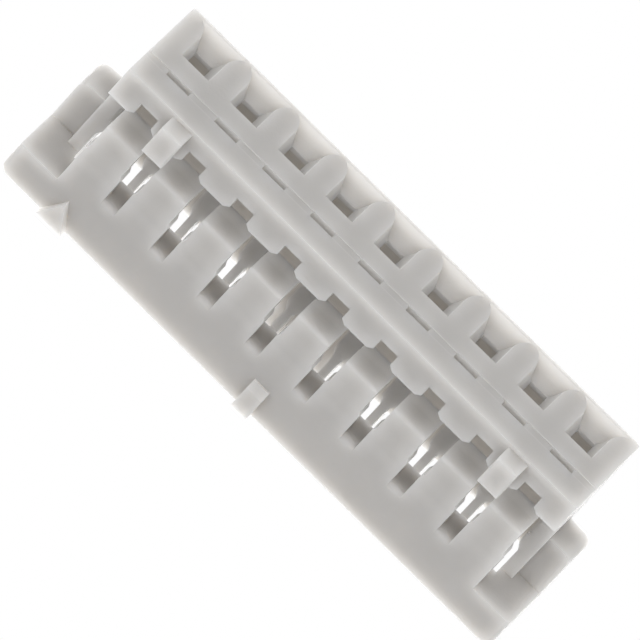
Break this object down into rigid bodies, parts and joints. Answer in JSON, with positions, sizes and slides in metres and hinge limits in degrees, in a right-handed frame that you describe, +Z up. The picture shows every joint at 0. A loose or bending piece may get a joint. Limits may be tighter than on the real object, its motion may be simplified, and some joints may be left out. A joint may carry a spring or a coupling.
{
  "type": "wire-to-board connector housing",
  "caption": "Single-row moulded receptacle housing at 1.25 mm pitch, with a row of locking lances, two polarising keys and side ears, for crimp contacts on wires.",
  "frame": {"origin": "middle of the footprint's bounding box, on the plane the housing rests on", "axes": "+X along the row towards circuit 1, -Y out of the mating face, +Y towards the wires, +Z up through the keys and the locking lances"},
  "size_m": [0.0128, 0.0044, 0.0028],
  "materials": {
    "nylon": "natural nylon, satin as moulded, a little translucent at thin edges"
  },
  "bodies": {
    "root": {"housing": "nylon"}
  },
  "joints": []
}
